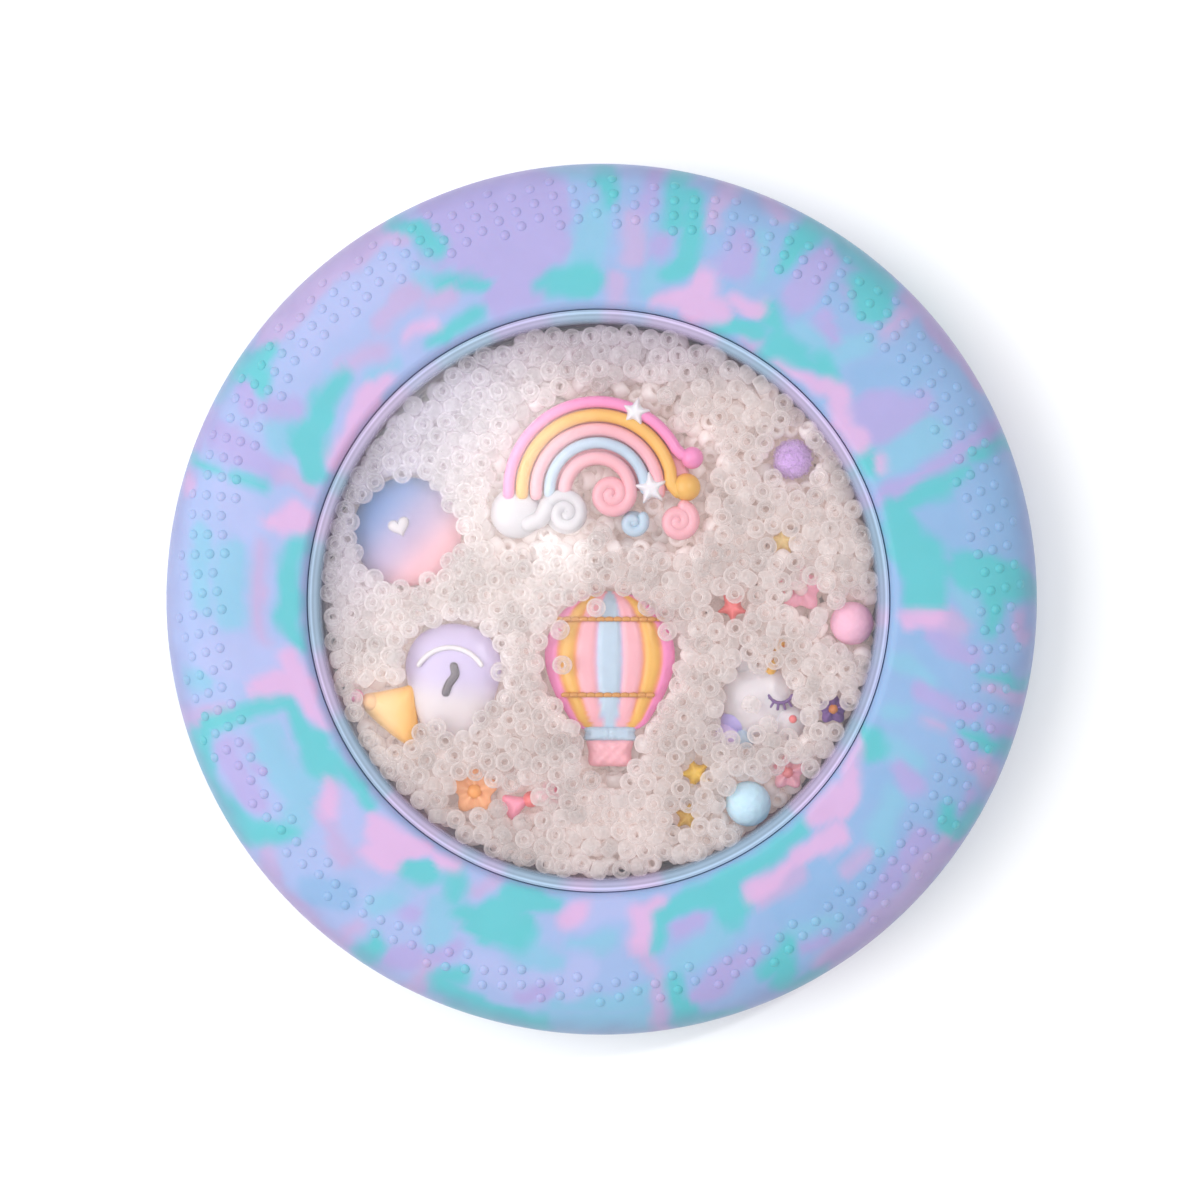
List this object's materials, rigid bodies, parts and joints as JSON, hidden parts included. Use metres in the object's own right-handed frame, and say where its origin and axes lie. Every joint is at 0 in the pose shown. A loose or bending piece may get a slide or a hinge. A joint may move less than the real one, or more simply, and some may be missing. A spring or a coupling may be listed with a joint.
{
  "type": "sensory teething ring",
  "caption": "Soft marbled silicone ring with raised dots round a clear sealed capsule filled with loose clear beads and pastel charms.",
  "frame": {"origin": "centre of the ring's back face, which is the face it rests on", "axes": "+Z is the disc's axis, out of the front window; +Y is the top of the picture that the charms make"},
  "size_m": [0.15, 0.15, 0.024],
  "materials": {
    "marbled_silicone": "matte silicone marbled teal, aqua, blue, lavender and pink",
    "clear_window": "clear polished plastic",
    "clear_bead": "clear, slightly frosted plastic",
    "rainbow_resin": "satin resin in pink, yellow, pale blue and white",
    "balloon_resin": "satin resin in pink, yellow and pale blue stripes",
    "white_resin": "satin white resin with coloured details",
    "pastel_resin": "matte, graded blue to lavender to pink",
    "yellow_resin": "satin",
    "orange_resin": "satin",
    "purple_resin": "satin",
    "pink_resin": "satin",
    "pink_foam": "matte foam",
    "blue_foam": "matte foam",
    "purple_felt": "fuzzy felt"
  },
  "bodies": {
    "root": {"silicone_ring": "marbled_silicone", "front_shell": "clear_window", "back_shell": "clear_window"},
    "fill": {"bead_bed": "clear_bead", "loose_bead_01": "clear_bead", "loose_bead_02": "clear_bead", "loose_bead_03": "clear_bead", "loose_bead_04": "clear_bead", "loose_bead_05": "clear_bead", "loose_bead_06": "clear_bead", "loose_bead_07": "clear_bead", "loose_bead_08": "clear_bead", "loose_bead_09": "clear_bead", "loose_bead_10": "clear_bead", "loose_bead_11": "clear_bead", "loose_bead_12": "clear_bead", "loose_bead_13": "clear_bead", "loose_bead_14": "clear_bead", "loose_bead_15": "clear_bead", "loose_bead_16": "clear_bead", "loose_bead_17": "clear_bead", "loose_bead_18": "clear_bead", "loose_bead_19": "clear_bead", "loose_bead_20": "clear_bead", "loose_bead_21": "clear_bead", "loose_bead_22": "clear_bead", "loose_bead_23": "clear_bead", "loose_bead_24": "clear_bead", "loose_bead_25": "clear_bead", "loose_bead_26": "clear_bead", "loose_bead_27": "clear_bead", "loose_bead_28": "clear_bead", "loose_bead_29": "clear_bead", "loose_bead_30": "clear_bead", "loose_bead_31": "clear_bead", "loose_bead_32": "clear_bead", "loose_bead_33": "clear_bead", "loose_bead_34": "clear_bead", "loose_bead_35": "clear_bead", "loose_bead_36": "clear_bead"},
    "rainbow": {"rainbow_charm": "rainbow_resin"},
    "balloon": {"balloon_charm": "balloon_resin"},
    "bird": {"bird_charm": "white_resin"},
    "unicorn": {"unicorn_charm": "white_resin"},
    "pastel_dome": {"pastel_dome": "pastel_resin"},
    "pink_ball": {"pink_ball": "pink_foam"},
    "blue_ball": {"blue_ball": "blue_foam"},
    "purple_pompom": {"purple_pompom": "purple_felt"},
    "orange_flower": {"orange_flower": "orange_resin"},
    "purple_flower": {"purple_flower": "purple_resin"},
    "pink_flower": {"pink_flower": "pink_resin"},
    "rose_flower": {"rose_flower": "pink_resin"},
    "yellow_star": {"yellow_star": "yellow_resin"},
    "gold_star": {"gold_star": "yellow_resin"},
    "pink_star": {"pink_star": "pink_resin"},
    "cream_star": {"cream_star": "yellow_resin"},
    "pink_bow": {"pink_bow": "pink_resin"}
  },
  "joints": [
    {"name": "fill_swirl", "type": "hinge", "parent": "root", "child": "fill", "pos_m": [0, 0, 0.012], "axis": [0, 0, 1], "continuous": true},
    {"name": "rainbow_turn", "type": "hinge", "parent": "fill", "child": "rainbow", "pos_m": [0.0002, 0.0184, 0.0167], "axis": [0, 0, 1], "range_deg": [-6, 6]},
    {"name": "balloon_turn", "type": "hinge", "parent": "fill", "child": "balloon", "pos_m": [0.0018, -0.0126, 0.0147], "axis": [0, 0, 1], "range_deg": [-6, 6]},
    {"name": "bird_turn", "type": "hinge", "parent": "fill", "child": "bird", "pos_m": [-0.0244, -0.0152, 0.0147], "axis": [0, 0, 1], "range_deg": [-6, 6]},
    {"name": "unicorn_turn", "type": "hinge", "parent": "fill", "child": "unicorn", "pos_m": [0.0272, -0.017, 0.0128], "axis": [0, 0, 1], "range_deg": [-6, 6]},
    {"name": "pastel_dome_turn", "type": "hinge", "parent": "fill", "child": "pastel_dome", "pos_m": [-0.0332, 0.0118, 0.0147], "axis": [0, 0, 1], "continuous": true},
    {"name": "pink_ball_turn", "type": "hinge", "parent": "fill", "child": "pink_ball", "pos_m": [0.0433, -0.0039, 0.01505], "axis": [0, 0, 1], "continuous": true},
    {"name": "blue_ball_turn", "type": "hinge", "parent": "fill", "child": "blue_ball", "pos_m": [0.0256, -0.0349, 0.01485], "axis": [0, 0, 1], "continuous": true},
    {"name": "purple_pompom_turn", "type": "hinge", "parent": "fill", "child": "purple_pompom", "pos_m": [0.0332, 0.0242, 0.0152], "axis": [0, 0, 1], "continuous": true},
    {"name": "orange_flower_turn", "type": "hinge", "parent": "fill", "child": "orange_flower", "pos_m": [-0.0216, -0.0334, 0.0136], "axis": [0, 0, 1], "continuous": true},
    {"name": "purple_flower_turn", "type": "hinge", "parent": "fill", "child": "purple_flower", "pos_m": [0.0402, -0.019, 0.0121], "axis": [0, 0, 1], "continuous": true},
    {"name": "pink_flower_turn", "type": "hinge", "parent": "fill", "child": "pink_flower", "pos_m": [0.0346, 0.0016, 0.0121], "axis": [0, 0, 1], "continuous": true},
    {"name": "rose_flower_turn", "type": "hinge", "parent": "fill", "child": "rose_flower", "pos_m": [0.0324, -0.03, 0.0121], "axis": [0, 0, 1], "continuous": true},
    {"name": "yellow_star_turn", "type": "hinge", "parent": "fill", "child": "yellow_star", "pos_m": [0.0168, -0.0298, 0.0136], "axis": [0, 0, 1], "continuous": true},
    {"name": "gold_star_turn", "type": "hinge", "parent": "fill", "child": "gold_star", "pos_m": [0.015, -0.0376, 0.0121], "axis": [0, 0, 1], "continuous": true},
    {"name": "pink_star_turn", "type": "hinge", "parent": "fill", "child": "pink_star", "pos_m": [0.0229, -0.001, 0.0136], "axis": [0, 0, 1], "continuous": true},
    {"name": "cream_star_turn", "type": "hinge", "parent": "fill", "child": "cream_star", "pos_m": [0.0314, 0.0099, 0.0121], "axis": [0, 0, 1], "continuous": true},
    {"name": "pink_bow_turn", "type": "hinge", "parent": "fill", "child": "pink_bow", "pos_m": [-0.0119, -0.0344, 0.0136], "axis": [0, 0, 1], "continuous": true}
  ]
}
